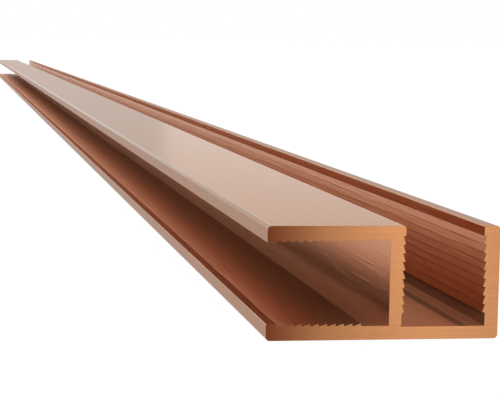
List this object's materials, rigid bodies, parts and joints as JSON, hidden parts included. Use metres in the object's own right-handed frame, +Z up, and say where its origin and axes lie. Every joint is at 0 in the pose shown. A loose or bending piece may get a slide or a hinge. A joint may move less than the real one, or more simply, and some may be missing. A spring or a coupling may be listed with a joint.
{
  "type": "aluminium corner profile",
  "caption": "Copper-coloured aluminium extrusion with barbed channels set at a right angle, which grip the edges of boards that meet in a corner.",
  "frame": {"origin": "underside of the floor plate, midway across the section and midway along the stock", "axes": "+Y along the stock, +Z up from the floor plate towards the upright channel's mouth, +X towards the back wall"},
  "size_m": [0.0228, 1, 0.0109],
  "materials": {
    "copper_anodised": "extruded aluminium, anodised in a satin copper colour, with sawn ends"
  },
  "bodies": {
    "root": {"corner_profile": "copper_anodised"}
  },
  "joints": []
}
